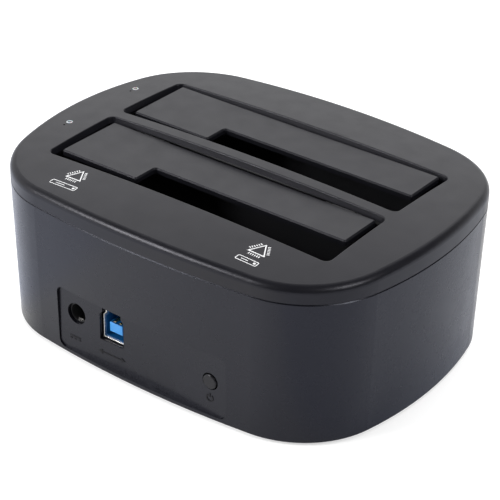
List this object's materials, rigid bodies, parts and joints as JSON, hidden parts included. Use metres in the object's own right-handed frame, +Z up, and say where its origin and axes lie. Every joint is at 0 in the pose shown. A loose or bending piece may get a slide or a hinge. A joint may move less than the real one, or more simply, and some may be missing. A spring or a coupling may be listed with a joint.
{
  "type": "hard drive docking station",
  "caption": "Desktop docking station that holds bare hard drives upright in top bays under spring flaps, with power, data and switch at the rear.",
  "frame": {"origin": "centre of the footprint, on the surface that the feet stand on", "axes": "+X along the long side towards the activity lights, +Y out of the port side, +Z up"},
  "size_m": [0.1386, 0.1064, 0.0561],
  "materials": {
    "top_cover": "satin, fine moulded texture",
    "body_shell": "semi-gloss",
    "base_plate": "matte",
    "drive_cradle": "matte",
    "flap": "satin, fine moulded texture",
    "power_button": "satin",
    "switch_plunger": "smooth",
    "power_switch_body": "matte",
    "circuit_board": "solder mask",
    "chip": "matte",
    "crystal": "satin",
    "capacitor": "satin",
    "power_inductor": "matte",
    "usb_shell": "bright plated",
    "usb_insulator": "smooth",
    "contacts": "bright",
    "dc_jack_housing": "matte",
    "dc_jack_pin": "bright plated",
    "sata_socket": "matte",
    "led": "smooth",
    "light_pipe": "smooth, milky",
    "screw": "zinc plated",
    "hinge_pin": "ground",
    "flap_spring": "drawn wire",
    "foot": "matte"
  },
  "bodies": {
    "station": {"base_plate": "base_plate", "base_screw_front_left": "screw", "base_screw_front_right": "screw", "base_screw_rear_left": "screw", "base_screw_rear_right": "screw", "board_screw_front_left": "screw", "board_screw_front_right": "screw", "board_screw_rear_left": "screw", "board_screw_rear_right": "screw", "body_shell": "body_shell", "bridge_chip": "chip", "capacitor_left": "capacitor", "capacitor_right": "capacitor", "circuit_board": "circuit_board", "cradle_screw_front_left": "screw", "cradle_screw_front_right": "screw", "cradle_screw_rear_left": "screw", "cradle_screw_rear_right": "screw", "crystal": "crystal", "dc_jack_housing": "dc_jack_housing", "dc_jack_leaf": "contacts", "dc_jack_pin": "dc_jack_pin", "drive_cradle": "drive_cradle", "flap_spring_front": "flap_spring", "flap_spring_rear": "flap_spring", "foot_front_left": "foot", "foot_front_right": "foot", "foot_rear_left": "foot", "foot_rear_right": "foot", "hinge_pin_front": "hinge_pin", "hinge_pin_rear": "hinge_pin", "led_board": "circuit_board", "led_board_screw_1": "screw", "led_board_screw_2": "screw", "led_front": "led", "led_rear": "led", "light_pipe_front": "light_pipe", "light_pipe_rear": "light_pipe", "memory_chip": "chip", "power_inductor": "power_inductor", "power_switch_body": "power_switch_body", "sata_contacts_front": "contacts", "sata_contacts_rear": "contacts", "sata_socket_front": "sata_socket", "sata_socket_rear": "sata_socket", "top_cover": "top_cover", "usb_contacts": "contacts", "usb_insulator": "usb_insulator", "usb_shell": "usb_shell"},
    "flap_rear": {"flap_rear": "flap"},
    "flap_front": {"flap_front": "flap"},
    "button": {"power_button": "power_button", "switch_plunger": "switch_plunger"}
  },
  "joints": [
    {"name": "flap_rear_hinge", "type": "hinge", "parent": "station", "child": "flap_rear", "pos_m": [0, 0.00135, 0.05065], "axis": [-1, 0, 0], "range_deg": [0, 88], "stiffness_Nm_per_rad": 0.002, "springref_deg": -28.65, "deforming": ["flap_spring_rear"]},
    {"name": "flap_front_hinge", "type": "hinge", "parent": "station", "child": "flap_front", "pos_m": [0, -0.03225, 0.05065], "axis": [-1, 0, 0], "range_deg": [0, 88], "stiffness_Nm_per_rad": 0.002, "springref_deg": -28.65, "deforming": ["flap_spring_front"]},
    {"name": "button_slide", "type": "slide", "parent": "station", "child": "button", "axis": [0, -1, 0], "range_m": [0, 0.0012], "stiffness_N_per_m": 400, "springref_m": -0.0003}
  ]
}
